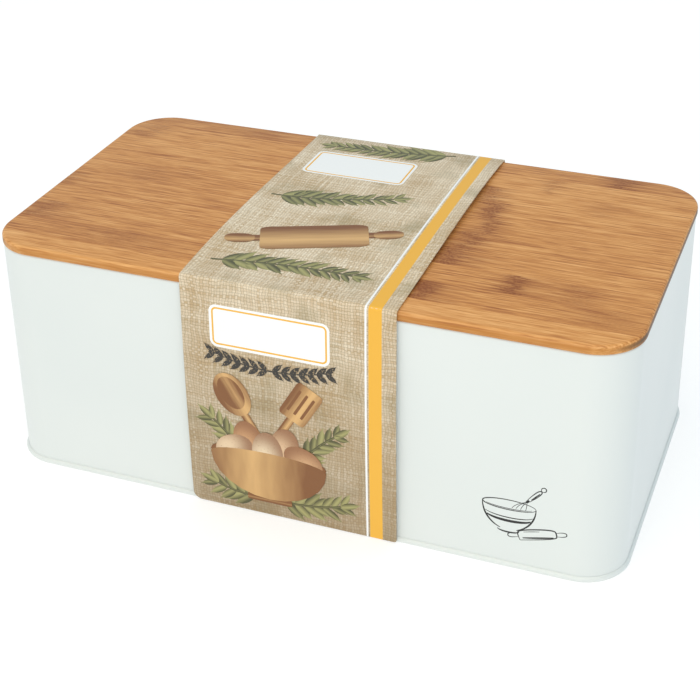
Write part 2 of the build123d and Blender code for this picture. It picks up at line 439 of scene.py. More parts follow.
def printed_card(sleeve, strip):
    """Offset-printed boxboard under matt varnish: coarse linen, an amber stripe and blank labels."""
    material, tree = start_material("printed_boxboard")
    flat = add_node(tree, "UVMap", uv_map="print")

    # Linen: threads pass over and under each other, drawn coarser than real cloth so that they show
    wander = add_node(tree, "TexNoise", {"Vector": flat, "Scale": 1 / (16 * MM), "Detail": 2.0})
    drift = add_node(tree, "VectorMath", {
        0: wander.outputs["Color"], 1: (4 * MM, 4 * MM, 0), 2: flat,
    }, operation="MULTIPLY_ADD")
    threads = add_node(tree, "VectorMath", {0: drift, "Scale": 1 / sleeve.thread}, operation="SCALE")
    cell = add_node(tree, "VectorMath", {0: threads}, operation="FLOOR")
    inside = add_node(tree, "VectorMath", {0: threads}, operation="FRACTION")
    warp_number, weft_number = add_node(tree, "SeparateXYZ", {0: cell}).outputs[:2]
    warp_side, weft_side = add_node(tree, "SeparateXYZ", {0: inside}).outputs[:2]
    steps = add_node(tree, "Math", {0: warp_number, 1: weft_number}, operation="ADD")
    weft_over = add_node(tree, "Math", {0: steps, 1: 2.0}, operation="FLOORED_MODULO")
    slubs = []
    for scale in ((0.7, 0.05, 1), (0.05, 0.7, 1)):
        stretched = add_node(tree, "Mapping", {"Vector": threads, "Scale": scale})
        slubs.append(add_node(tree, "TexNoise", {"Vector": stretched, "Scale": 1.0, "Detail": 3.0}))
    uppermost = [
        add_node(tree, "Mix", {MIX_FACTOR: weft_over, NUMBER_A: warp, NUMBER_B: weft}, data_type="FLOAT")
        for warp, weft in ((warp_side, weft_side), (warp_number, weft_number), slubs)
    ]
    side, number, slub = uppermost
    draw = add_node(tree, "TexWhiteNoise", {"W": number}, noise_dimensions="1D")
    cloud = add_node(tree, "TexNoise", {"Vector": flat, "Scale": 1 / (38 * MM), "Detail": 3.0})
    tone = add_node(tree, "Math", {0: draw, 1: 0.22, 2: slub}, operation="MULTIPLY_ADD")
    tone = add_node(tree, "Math", {0: cloud, 1: 0.7, 2: tone}, operation="MULTIPLY_ADD")
    shaded = add_node(tree, "MapRange", {"Value": tone, "From Min": 0.70, "From Max": 1.22})
    off = add_node(tree, "Math", {0: side, 1: 0.5}, operation="SUBTRACT")
    aside = add_node(tree, "Math", {0: off}, operation="ABSOLUTE")
    gap = add_node(tree, "MapRange", {"Value": aside, "From Min": 0.26, "From Max": 0.5, "To Max": 0.62})
    patch = add_node(tree, "TexNoise", {"Vector": drift, "Scale": 1 / (26 * MM), "Detail": 4.0})
    mossy = add_node(tree, "MapRange", {"Value": patch, "From Min": 0.52, "From Max": 0.74, "To Max": 0.55})
    across, down = add_node(tree, "SeparateXYZ", {0: flat}).outputs[:2]
    folded = add_node(tree, "Math", {0: down}, operation="ABSOLUTE")
    # Painted shade: the hanging skirts are coated darker towards their foot
    painted_skirt_shade = add_node(tree, "MapRange", {
        "Value": folded, "From Min": strip.flat - 30 * MM, "From Max": strip.half, "To Max": 0.6,
    })
    coats = [
        (shaded, sleeve.linen_shade),
        (mossy, sleeve.olive),
        (gap, sleeve.linen_gap),
        (painted_skirt_shade, sleeve.linen_gap),
    ]

    # Bars along the strip as (middle along X, half width, colour): the stripe and a white line beside it
    line_offset = 0.72 * sleeve.stripe_width
    line_half = 0.5 * MM
    for middle, half, paint in (
        (sleeve.stripe_place, sleeve.stripe_width / 2, sleeve.amber),
        (sleeve.stripe_place - line_offset, line_half, sleeve.label),
    ):
        bar = add_node(tree, "Math", {0: across, 1: middle, 2: half}, operation="COMPARE")
        coats.append((bar, paint))

    # Blank labels with rounded corners and a thin frame line inside their edge
    for middle, half in strip.labels:
        away = add_node(tree, "VectorMath", {0: flat, 1: middle}, operation="SUBTRACT")
        quarter = add_node(tree, "VectorMath", {0: away}, operation="ABSOLUTE")
        core = Vector((half.x - LABEL_CORNER, half.y - LABEL_CORNER, 0))
        past = add_node(tree, "VectorMath", {0: quarter, 1: core}, operation="SUBTRACT")
        beyond = add_node(tree, "VectorMath", {0: past}, operation="MAXIMUM")
        reach = add_node(tree, "VectorMath", {0: beyond}, operation="LENGTH")
        panel = add_node(tree, "Math", {0: reach, 1: LABEL_CORNER}, operation="LESS_THAN")
        line = add_node(tree, "Math", {
            0: reach, 1: LABEL_CORNER - FRAME_INSET, 2: FRAME_WIDTH / 2,
        }, operation="COMPARE")
        coats += [(panel, sleeve.label), (line, sleeve.amber)]

    # Creases: the print cracks a little and shows the white core
    off = add_node(tree, "Math", {0: folded, 1: strip.flat + strip.bend / 2}, operation="SUBTRACT")
    near = add_node(tree, "Math", {0: off}, operation="ABSOLUTE")
    rubbed = add_node(tree, "MapRange", {"Value": near, "From Max": 0.9 * MM, "To Min": 1.0, "To Max": 0.0})
    chips = add_node(tree, "TexNoise", {"Vector": flat, "Scale": 1 / (1.2 * MM), "Detail": 3.0})
    wear = add_node(tree, "Math", {0: rubbed, 1: chips}, operation="MULTIPLY")
    bared = add_node(tree, "MapRange", {"Value": wear, "From Min": 0.42, "From Max": 0.58, "To Max": 0.45})
    coats.append((bared, sleeve.board))

    body = lay_coats(tree, sleeve.linen, coats)
    relief = add_node(tree, "Bump", {"Height": chips, "Strength": 0.1, "Distance": 0.02 * MM})
    finish_material(tree, {"Base Color": body, "Roughness": 0.42, "Normal": relief, "IOR": 1.5})
    return material


def printed_shape(name, light, dark):
    """Printed leaf or wood under varnish: lit along its middle, dark along its edges, streaked lengthwise."""
    material, tree = start_material(name)
    shape = add_node(tree, "UVMap", uv_map="shape")
    tone = add_node(tree, "Attribute", attribute_name="tone").outputs["Fac"]
    split = add_node(tree, "SeparateXYZ", {0: shape})
    off = add_node(tree, "Math", {0: split.outputs["Y"], 1: 0.12}, operation="ADD")
    reach = add_node(tree, "Math", {0: off}, operation="ABSOLUTE")
    streaks = add_node(tree, "Mapping", {"Vector": shape, "Scale": (1.5, 9.0, 1.0)})
    grain = add_node(tree, "TexNoise", {"Vector": streaks, "Scale": 1.0, "Detail": 2.0})
    rough = add_node(tree, "Math", {0: grain, 1: 0.30, 2: reach}, operation="MULTIPLY_ADD")
    shaded = add_node(tree, "Math", {0: rough, 1: tone}, operation="ADD")
    darker = add_node(tree, "MapRange", {"Value": shaded, "From Min": 0.12, "From Max": 0.62})
    tint = add_node(tree, "Mix", {MIX_FACTOR: darker, MIX_A: light, MIX_B: dark}, data_type="RGBA")
    finish_material(tree, {"Base Color": tint, "Roughness": 0.42, "IOR": 1.5})
    return material


def printed_eggshell(sleeve):
    """Printed eggs under varnish: round shading from a lit spot, fine freckles, cream or brown by tone."""
    material, tree = start_material("printed_eggshell")
    shape = add_node(tree, "UVMap", uv_map="shape")
    tone = add_node(tree, "Attribute", attribute_name="tone").outputs["Fac"]
    spot = add_node(tree, "VectorMath", {0: shape, 1: (-0.10, 0.14, 0)}, operation="SUBTRACT")
    reach = add_node(tree, "VectorMath", {0: spot}, operation="LENGTH")
    round_shade = add_node(tree, "MapRange", {
        "Value": reach, "From Min": 0.05, "From Max": 0.72, "To Max": 0.85,
    }, interpolation_type="SMOOTHSTEP")
    freckles = add_node(tree, "TexNoise", {"Vector": shape, "Scale": 16.0, "Detail": 2.0})
    freckled = add_node(tree, "MapRange", {
        "Value": freckles, "From Min": 0.60, "From Max": 0.70, "To Max": 0.35,
    })
    coats = [(tone, sleeve.eggshell_brown), (freckled, sleeve.egg_shade), (round_shade, sleeve.egg_shade)]
    body = lay_coats(tree, sleeve.eggshell, coats)
    finish_material(tree, {"Base Color": body, "Roughness": 0.42, "IOR": 1.5})
    return material


def printed_charcoal(sleeve):
    """Printed charcoal: dark, worn away in specks as by a dry brush."""
    material, tree = start_material("printed_charcoal")
    place = add_node(tree, "TexCoord").outputs["Object"]
    brush = add_node(tree, "TexNoise", {"Vector": place, "Scale": 1 / (1.1 * MM), "Detail": 3.0})
    worn = add_node(tree, "MapRange", {"Value": brush, "From Min": 0.56, "From Max": 0.66, "To Max": 0.55})
    tint = add_node(tree, "Mix", {
        MIX_FACTOR: worn, MIX_A: sleeve.charcoal, MIX_B: sleeve.linen_shade,
    }, data_type="RGBA")
    finish_material(tree, {"Base Color": tint, "Roughness": 0.45, "IOR": 1.5})
    return material


def pale_floor(stage):
    """Opal acrylic of a light table: pale, matt and lit a little from below, so that shadows stay faint."""
    material, tree = start_material("opal_acrylic")
    place = add_node(tree, "TexCoord").outputs["Object"]
    cloud = add_node(tree, "TexNoise", {"Vector": place, "Scale": 1 / (300 * MM), "Detail": 1.0})
    tint = add_node(tree, "Mix", {
        MIX_FACTOR: cloud, MIX_A: stage.floor, MIX_B: stage.floor_shade,
    }, data_type="RGBA")
    finish_material(tree, {
        "Base Color": tint, "Roughness": 0.9, "Emission Color": (1, 1, 1, 1), "Emission Strength": stage.glow,
    })
    return material


def mesh_from(bm, name):
    """Turn a finished bmesh into a mesh."""
    mesh = bpy.data.meshes.new(name)
    bm.to_mesh(mesh)
    bm.free()
    return mesh


def add_object(name, data):
    """Add an object to the scene."""
    made = bpy.data.objects.new(name, data)
    bpy.context.scene.collection.objects.link(made)
    return made


def add_piece(bm, name, materials, body, nodes=()):
    """Turn a finished bmesh into a piece that rides on a body and stands for these nodes."""
    mesh = mesh_from(bm, name)
    mesh.shade_smooth()
    mesh.set_sharp_from_angle(angle=SHARP_ANGLE)
    for material in materials:
        mesh.materials.append(material)
    piece = add_object(name, mesh)
    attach(piece, body)
    if nodes:
        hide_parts(*nodes)
    return piece


def parts_of(geometry, kind):
    """The vertices, edges or faces among what an operator gives back."""
    return [part for part in geometry if isinstance(part, kind)]


def edges_at(bm, level):
    """The edges that lie at one height."""
    return [edge for edge in bm.edges if all(abs(vert.co.z - level) < MERGE for vert in edge.verts)]


def round_off(bm, parts, width, steps, affect="EDGES"):
    """Round off edges, or single points."""
    bmesh.ops.bevel(
        bm, geom=parts, offset=width, offset_type="OFFSET", segments=steps, profile=0.5,
        affect=affect, material=-1,
    )


def slice_through(bm, place, normal, clear_outer=False):
    """Cut everything along a plane, and take away what lies beyond it where that is asked for."""
    return bmesh.ops.bisect_plane(
        bm, geom=bm.verts[:] + bm.edges[:] + bm.faces[:], dist=MERGE,
        plane_co=place, plane_no=normal, clear_outer=clear_outer,
    )


def map_flat(bm, name):
    """Add a UV map that says where each point of a flat sheet lies."""
    layer = bm.loops.layers.uv.new(name)
    for face in bm.faces:
        for corner in face.loops:
            corner[layer].uv = corner.vert.co.xy


def wall_half(tin):
    """Half length and half depth over the wall's outer face: the base reaches three seam layers further."""
    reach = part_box("tin_base")[1]
    seam = 3 * (tin.sheet + tin.seam_gap)
    return reach.x - seam, reach.y - seam


def fold_line(bm, tin, points, bends):
    """A folded line where the first corner of the tin starts, from points (out from the wall, height).

    Bends are radii by the number of their point.
    """
    half_x, half_y = wall_half(tin)
    corners = [bm.verts.new((half_x + out, half_y - tin.corner, height)) for out, height in points]
    for pair in zip(corners, corners[1:]):
        bm.edges.new(pair)
    for number, radius in bends.items():
        round_off(bm, [corners[number]], radius, BEND_STEPS, "VERTICES")


def carry_round(bm, tin):
    """Carry the line once round the tin: a quarter turn at each corner and a straight run after it."""
    half_x, half_y = wall_half(tin)
    x = half_x - tin.corner
    y = half_y - tin.corner
    centres = [Vector((x, y, 0)), Vector((-x, y, 0)), Vector((-x, -y, 0)), Vector((x, -y, 0))]
    edges = bm.edges[:]
    verts = bm.verts[:]
    for centre, onward in zip(centres, centres[1:] + centres[:1]):
        turned = bmesh.ops.spin(
            bm, geom=verts + edges, cent=centre, axis=(0, 0, 1), angle=math.pi / 2,
            steps=CORNER_STEPS, use_merge=False,
        )
        run = bmesh.ops.extrude_edge_only(bm, edges=parts_of(turned["geom_last"], bmesh.types.BMEdge))
        edges = parts_of(run["geom"], bmesh.types.BMEdge)
        verts = parts_of(run["geom"], bmesh.types.BMVert)
        bmesh.ops.translate(bm, verts=verts, vec=onward - centre)
    bmesh.ops.remove_doubles(bm, verts=bm.verts, dist=MERGE)


def thicken(bm, thickness, seen_from):
    """Give a sheet its thickness, on the far side of its widest face as seen from a point."""
    bmesh.ops.recalc_face_normals(bm, faces=bm.faces)
    bm.normal_update()
    widest = max(bm.faces, key=lambda face: face.calc_area())
    if widest.normal.dot(seen_from - widest.calc_center_median()) < 0:
        bmesh.ops.reverse_faces(bm, faces=bm.faces)
    bmesh.ops.solidify(bm, geom=bm.faces[:], thickness=thickness)


class BREADBOX_OT_tin_wall(bpy.types.Operator):
    """Fold the wall of the tin: hook in the seam, upright wall, hem round the rim, lap inside the back"""

    bl_idname = "bread_box.tin_wall"
    bl_label = "Tin wall"

    def execute(self, context):
        tin = context.scene.bread_box.tin
        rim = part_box("tin_wall")[1].z
        pitch = tin.sheet + tin.seam_gap
        hem_top = rim - tin.sheet
        hem_leg = -tin.sheet - tin.hem_gap
        inner_face = [
            (2 * pitch, tin.seam_height - tin.sheet - tin.hook_clearance),
            (2 * pitch, pitch),
            (-tin.sheet, pitch),
            (-tin.sheet, hem_top),
            (hem_leg, hem_top),
            (hem_leg, hem_top - tin.hem_drop),
        ]
        hem_round = HEM_ROUND * tin.hem_gap
        bm = bmesh.new()
        fold_line(bm, tin, inner_face, {3: hem_round, 4: hem_round})
        carry_round(bm, tin)
        thicken(bm, tin.sheet, Vector((0, 0, rim / 2)))
        enamel = bpy.data.materials.get("satin_white_enamel") or satin_enamel(tin)
        add_piece(bm, "wall_sheet", [enamel], "tin", ["tin_wall"])

        # Lap: the other end of the wall sheet, against the inner face of the back
        half_y = wall_half(tin)[1]
        lap = Matrix.Translation((0, half_y - 1.5 * tin.sheet, rim / 2))
        lap_size = Matrix.Diagonal((tin.lap_width, tin.sheet, rim - 2 * tin.lap_margin, 1))
        bm = bmesh.new()
        bmesh.ops.create_cube(bm, size=1, matrix=lap @ lap_size)
        round_off(bm, bm.edges[:], LAP_EASE * tin.sheet, LAP_STEPS)
        add_piece(bm, "wall_lap", [enamel], "tin")
        return {"FINISHED"}


class BREADBOX_OT_tin_base(bpy.types.Operator):
    """Press the base of the tin: bead of the seam round the foot, chuck wall and stepped floor"""

    bl_idname = "bread_box.tin_base"
    bl_label = "Tin base"

    def execute(self, context):
        tin = context.scene.bread_box.tin
        pitch = tin.sheet + tin.seam_gap
        chuck = -tin.sheet - pitch
        floor = tin.pan_height + tin.step_rise
        under_face = [
            (-tin.plate_inset, floor),
            (-tin.step_inset - tin.step_width, floor),
            (-tin.step_inset, tin.pan_height),
            (chuck, tin.pan_height),
            (chuck, 0),
            (3 * pitch, 0),
            (3 * pitch, tin.seam_height - tin.seam_slope),
            (tin.seam_gap, tin.seam_height),
            (tin.seam_gap, tin.seam_height - tin.sheet - tin.hook_overlap),
        ]
        step_bend = tin.step_width / 2
        bends = {1: step_bend, 2: step_bend, 3: tin.seam_bend, 5: tin.seam_bend, 6: tin.seam_bend}
        bm = bmesh.new()
        fold_line(bm, tin, under_face, bends)
        carry_round(bm, tin)
        plate_rim = [edge for edge in edges_at(bm, floor) if edge.is_boundary]
        bmesh.ops.contextual_create(bm, geom=plate_rim)
        thicken(bm, tin.sheet, Vector((0, 0, -1)))
        enamel = bpy.data.materials.get("satin_white_enamel") or satin_enamel(tin)
        add_piece(bm, "base_pan", [enamel], "tin", ["tin_base"])
        return {"FINISHED"}


def ellipse(x, y, half_x, half_y, start, stop, steps=16):
    """Points along an ellipse, between two angles in degrees."""
    turns = [math.radians(start + (stop - start) * step / steps) for step in range(steps + 1)]
    return [(x + half_x * math.cos(turn), y + half_y * math.sin(turn)) for turn in turns]


def turned_about(points, x, y, turn):
    """Points about the origin, turned and moved to a place."""
    cosine = math.cos(turn)
    sine = math.sin(turn)
    return [
        (x + along * cosine - aside * sine, y + along * sine + aside * cosine) for along, aside in points
    ]


def baking_things():
    """Strokes of a bowl, a whisk and a rolling pin, in mm from their lower left, as (points, width)."""
    strokes = [
        # Bowl: rim, body, foot and two bands
        (ellipse(16, 19, 13, 2.8, 0, 360, 28), 0.6),
        (ellipse(16, 18.9, 11.8, 2.0, 200, 340), 0.4),
        (ellipse(16, 19, 13, 14.5, 180, 252), 0.9),
        (ellipse(16, 19, 13, 14.5, 288, 360), 0.9),
        (ellipse(16, 4.6, 5.2, 1.3, 180, 360), 0.9),
        (ellipse(16, 14.6, 12.0, 2.9, 196, 344), 0.6),
        (ellipse(16, 12.6, 11.2, 2.8, 198, 342), 1.5),
    ]
    # Whisk: wires that fan out inside the bowl's mouth, a dark collar, a handle and its ring
    collar = (24.4, 22.6)
    lean = math.radians(48)
    for spread in (-3.2, -1.3, 0.9, 3.4):
        strokes.append(([(20.6 + spread, 17.6), (21.6 + 0.9 * spread, 20.4), collar], 0.45))
    for outline, width in (
        ([(-0.4, 0), (0.6, 0), (1.6, 0)], 2.0),
        ([(1.2, 0.7), (5, 1.1), (9.4, 1.0), (10.4, 0), (9.4, -1.0), (5, -1.1), (1.2, -0.7)], 0.6),
        ([(2.6, -0.4), (5.5, -0.5), (8.6, -0.4)], 0.9),
        (ellipse(11.7, 0, 1.3, 1.2, 180, 540, 12), 0.55),
    ):
        strokes.append((turned_about(outline, *collar, lean), width))
    # Rolling pin: barrel, two handles, a line of shade and a line of light
    pin_middle = (30, 5.2)
    pin_turn = math.radians(14)
    handle = [(9.7, -1.0), (12.2, -1.3), (14.2, -0.9), (14.6, 0), (14.2, 0.9), (12.2, 1.3), (9.7, 1.0)]
    for outline, width in (
        ([(-9, -2.9), (9, -2.9), (9.7, 0), (9, 2.9), (-9, 2.9), (-9.7, 0), (-9, -2.9)], 0.75),
        (handle, 0.55),
        ([(-along, aside) for along, aside in handle], 0.55),
        ([(-7.5, -1.7), (0, -1.9), (7.8, -1.7)], 1.3),
        ([(-6.5, 1.6), (-2, 1.8), (1.5, 1.7)], 0.5),
    ):
        strokes.append((turned_about(outline, *pin_middle, pin_turn), width))
    return strokes


class BREADBOX_OT_tin_drawing(bpy.types.Operator):
    """Print a small line drawing on the front of the tin, each stroke a thin raised line of ink"""

    bl_idname = "bread_box.tin_drawing"
    bl_label = "Tin drawing"

    # Place of the drawing's lower left on the wall
    left = 94.0 * MM
    foot = 16.5 * MM

    # Strokes are drawn round, lifted off the wall in mm, and both are then flattened
    stand_off = 0.2
    flatness = 0.05

    # Share of a stroke's width that is left at its ends
    thin_end = 0.45

    def execute(self, context):
        tin = context.scene.bread_box.tin
        curve = bpy.data.curves.new("strokes", "CURVE")
        curve.dimensions = "3D"
        curve.bevel_depth = 0.5
        curve.bevel_resolution = 2
        curve.resolution_u = 6
        curve.use_fill_caps = True
        for points, width in baking_things():
            spline = curve.splines.new("NURBS")
            spline.points.add(len(points) - 1)
            for number, (x, y) in enumerate(points):
                share = number / (len(points) - 1)
                spline.points[number].co = (x, y, 0, 1)
                swell = (1 - self.thin_end) * math.sin(math.pi * share)
                spline.points[number].radius = width * (self.thin_end + swell)
            spline.order_u = 3
            spline.use_endpoint_u = True
        drawn = add_object("strokes", curve)
        graph = context.evaluated_depsgraph_get()
        mesh = bpy.data.meshes.new_from_object(drawn.evaluated_get(graph))
        bpy.data.objects.remove(drawn)
        bpy.data.curves.remove(curve)

        upright = Matrix.Rotation(math.pi / 2, 4, "X")
        face = -wall_half(tin)[1]
        place = Matrix.Translation((self.left, face - self.flatness * self.stand_off * MM, self.foot))
        mesh.transform(place @ upright @ Matrix.Diagonal((MM, MM, MM * self.flatness, 1)))
        bm = bmesh.new()
        bm.from_mesh(mesh)
        bpy.data.meshes.remove(mesh)
        add_piece(bm, "tin_line_drawing", [screen_ink(tin)], "tin")
        return {"FINISHED"}


def rounded_ply(low, high, corner, top_round, foot_ease):
    """A flat ply between two corners of its box, with round corners and eased edges."""
    size = high - low
    bm = bmesh.new()
    place = Matrix.Translation((low + high) / 2) @ Matrix.Diagonal((*size, 1))
    bmesh.ops.create_cube(bm, size=1, matrix=place)
    upright = [edge for edge in bm.edges if abs(edge.verts[0].co.z - edge.verts[1].co.z) > MERGE]
    round_off(bm, upright, corner, CORNER_STEPS)
    round_off(bm, edges_at(bm, high.z), top_round, TOP_STEPS)
    round_off(bm, edges_at(bm, low.z), foot_ease, FOOT_STEPS)
    return bm


def cut_stave(ply, back, front, ease):
    """The stretch of a ply between two joints, with the cut sides closed and their edges eased."""
    bm = ply.copy()
    for level, outward in ((back, 1), (front, -1)):
        if level is None:
            continue
        cut = slice_through(bm, (0, level, 0), (0, outward, 0), clear_outer=True)
        rim = parts_of(cut["geom_cut"], bmesh.types.BMEdge)
        bmesh.ops.contextual_create(bm, geom=rim)
        round_off(bm, rim, ease, JOINT_STEPS)
    bmesh.ops.recalc_face_normals(bm, faces=bm.faces)
    return bm


def mark(piece, name, value):
    """Keep a value at each point of a piece for its material: one for all points, or a list of them."""
    points = len(piece.data.vertices)
    kind = "FLOAT_VECTOR" if isinstance(value, Vector) else "FLOAT"
    attribute = piece.data.attributes.new(name, kind, "POINT")
    if kind == "FLOAT_VECTOR":
        attribute.data.foreach_set("vector", list(value) * points)
    else:
        attribute.data.foreach_set("value", value if isinstance(value, list) else [value] * points)


def lay_staves(lid, nodes, corner, edges, looks, title):
    """Cut one ply into its staves where the frame has them, and mark each with its looks."""
    boxes = [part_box(node) for node in nodes]
    low = Vector([min(box[0][axis] for box in boxes) for axis in range(3)])
    high = Vector([max(box[1][axis] for box in boxes) for axis in range(3)])
    ply = rounded_ply(low, high, corner, *edges)
    bamboo = bpy.data.materials.get("carbonised_bamboo") or carbonised_bamboo(lid)
    draw = random.Random(len(nodes))
    for number, (node, box, (tone, knuckles)) in enumerate(zip(nodes, boxes, looks), start=1):
        back = None if number == 1 else box[1].y
        front = None if number == len(nodes) else box[0].y
        bm = cut_stave(ply, back, front, lid.joint_ease)
        piece = add_piece(bm, f"{title}_{number:02d}", [bamboo], "lid", [node])
        middle = (box[0].y + box[1].y) / 2
        half = (box[1].y - box[0].y) / 2
        mark(piece, "across", [(point.co.y - middle) / half for point in piece.data.vertices])
        mark(piece, "seed", draw.uniform(1, 9))
        mark(piece, "tone", tone)
        plain = [(0, 0, 1)] * KNUCKLES
        for order, (place, strength, reach) in enumerate((knuckles + plain)[:KNUCKLES]):
            mark(piece, f"knuckle_{order}", Vector((place * MM, strength, reach * MM)))
    ply.free()


class BREADBOX_OT_upper_staves(bpy.types.Operator):
    """Cut and finish the ten staves of the lid's upper ply"""

    bl_idname = "bread_box.upper_staves"
    bl_label = "Upper staves"

    def execute(self, context):
        lid = context.scene.bread_box.lid
        edges = (lid.top_round, lid.under_ease)
        lay_staves(lid, UPPER_STAVES, lid.corner, edges, UPPER_LOOKS, "upper_stave")
        return {"FINISHED"}


class BREADBOX_OT_plug_staves(bpy.types.Operator):
    """Cut and finish the nine staves of the lid's lower ply, which drops into the rim"""

    bl_idname = "bread_box.plug_staves"
    bl_label = "Plug staves"

    def execute(self, context):
        lid = context.scene.bread_box.lid
        draw = random.Random(7)
        looks = [
            (draw.uniform(-0.12, 0.12), [(draw.uniform(-140, 140), draw.uniform(0.4, 0.9), 9)])
            for node in PLUG_STAVES
        ]
        edges = (lid.joint_ease, lid.plug_ease)
        lay_staves(lid, PLUG_STAVES, lid.plug_corner, edges, looks, "plug_stave")
        return {"FINISHED"}


def flat_strip(sleeve):
    """Sizes of the sleeve's strip before folding, from the middle of its top: to the crease, round it, down.

    The strip runs along Y, its front skirt at negative Y. Labels are (middle, half size) on the strip.
    """
    low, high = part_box("card_sleeve")
    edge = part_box("lid_stave_01")[1].y + sleeve.lid_gap + sleeve.card
    drop = high.z - sleeve.crown - low.z
    fold = math.pi / 2 - math.atan2(high.y - edge, drop)
    tangent = sleeve.crease * math.tan(fold / 2)
    strip = SimpleNamespace(
        half_width=high.x,
        height=high.z - sleeve.crown,
        fold=fold,
        flat=edge - tangent,
        bend=sleeve.crease * fold,
        skirt=math.hypot(high.y - edge, drop) - tangent,
    )
    strip.half = strip.flat + strip.bend + strip.skirt
    strip.folds = [strip.flat + strip.bend * (step + 0.5) / CREASE_STEPS for step in range(CREASE_STEPS)]
    strip.labels = [
        (Vector((-9 * MM, 105 * MM - strip.half, 0)), Vector((31 * MM, 11.5 * MM, 0))),
        (Vector((-16 * MM, 52 * MM, 0)), Vector((29 * MM, 15 * MM, 0))),
        (Vector((-4 * MM, strip.half - 70 * MM, 0)), Vector((36 * MM, 24 * MM, 0))),
    ]
    return strip


def score(bm, strip):
    """Cut what lies on the flat strip along every line where it bends."""
    spacing = 7 * MM
    rules = [spacing * count for count in range(1, int(strip.half / spacing))]
    rules = [rule for rule in rules if rule < strip.folds[0] - MM or rule > strip.folds[-1] + MM]
    columns = [strip.half_width * share for share in (0.45, 0.65, 0.78, 0.87, 0.94)]
    cuts = [((0, 1, 0), place) for place in [0] + strip.folds + rules]
    cuts += [((1, 0, 0), place) for place in columns]
    for normal, place in cuts:
        for side in (1, -1):
            slice_through(bm, Vector(normal) * place * side, normal)


def fold_over_lid(bm, sleeve, strip):
    """Fold what lies on the flat strip: crown, curl and bow first, then both creases line by line."""
    along = {vert: vert.co.y for vert in bm.verts}
    for vert, place in along.items():
        inward = abs(place) / strip.flat
        down = (abs(place) - strip.flat - strip.bend) / strip.skirt
        if inward < 1:
            aside = vert.co.x / strip.half_width
            curl = sleeve.curl * aside ** 4 * (1 + aside * place / strip.flat)
            vert.co.z += (sleeve.crown + curl) * (1 - inward * inward)
        elif down > 0:
            vert.co.z += sleeve.bow * math.sin(math.pi * down)
    for side in (1, -1):
        turn = Matrix.Rotation(-side * strip.fold / CREASE_STEPS, 3, "X")
        for line in reversed(strip.folds):
            beyond = [vert for vert, place in along.items() if place * side > line + MERGE]
            bmesh.ops.rotate(bm, cent=(0, side * line, 0), matrix=turn, verts=beyond)
    bmesh.ops.translate(bm, verts=bm.verts, vec=(0, 0, strip.height))


class BREADBOX_OT_sleeve(bpy.types.Operator):
    """Cut the card strip, print it, crease it and fold it over the lid"""

    bl_idname = "bread_box.sleeve"
    bl_label = "Sleeve"

    def execute(self, context):
        sleeve = context.scene.bread_box.sleeve
        strip = flat_strip(sleeve)
        bm = bmesh.new()
        size = Matrix.Diagonal((strip.half_width, strip.half, 1, 1))
        made = bmesh.ops.create_grid(bm, x_segments=1, y_segments=1, size=1, matrix=size)
        for vert in made["verts"]:
            rubbed = vert.co.x < 0 and vert.co.y < 0
            radius = sleeve.round_corner if rubbed else sleeve.sharp_corner
            round_off(bm, [vert], radius, BEND_STEPS, "VERTICES")
        score(bm, strip)
        map_flat(bm, "print")
        fold_over_lid(bm, sleeve, strip)
        bm.normal_update()
        printed = bm.faces[:]
        if printed[0].normal.dot(printed[0].calc_center_median() - Vector((0, 0, strip.height / 2))) < 0:
            bmesh.ops.reverse_faces(bm, faces=printed)
        thick = bmesh.ops.solidify(bm, geom=printed, thickness=sleeve.card)
        for face in parts_of(thick["geom"], bmesh.types.BMFace):
            face.material_index = 1
        materials = [printed_card(sleeve, strip), raw_board(sleeve)]
        add_piece(bm, "folded_sleeve", materials, "sleeve", ["card_sleeve"])
        return {"FINISHED"}


def shape_mesh(bm, name):
    """Keep a flat shape as a mesh whose UV map says where a point lies along and across it."""
    map_flat(bm, "shape")
    return mesh_from(bm, name)


def disc_shape(name, start, near, far, tip):
    """A disc one unit across from its start, its halves stretched and its far end drawn to a tip."""
    bm = bmesh.new()
    bmesh.ops.create_circle(bm, cap_ends=True, segments=24, radius=0.5)
    for side, stretch in ((-1, near), (1, far)):
        half = [vert for vert in bm.verts if vert.co.x * side > MERGE]
        bmesh.ops.scale(bm, vec=(stretch, 1, 1), verts=half)
    point = max(bm.verts, key=lambda vert: vert.co.x)
    bmesh.ops.translate(bm, verts=[point], vec=(tip, 0, 0))
    bmesh.ops.translate(bm, verts=bm.verts, vec=(start + 0.5, 0, 0))
    return shape_mesh(bm, name)


def bar_shape(name, corner):
    """A bar one unit long and wide about the origin, with round corners."""
    bm = bmesh.new()
    made = bmesh.ops.create_grid(bm, x_segments=1, y_segments=1, size=0.5)
    round_off(bm, made["verts"], corner, BEND_STEPS, "VERTICES")
    return shape_mesh(bm, name)


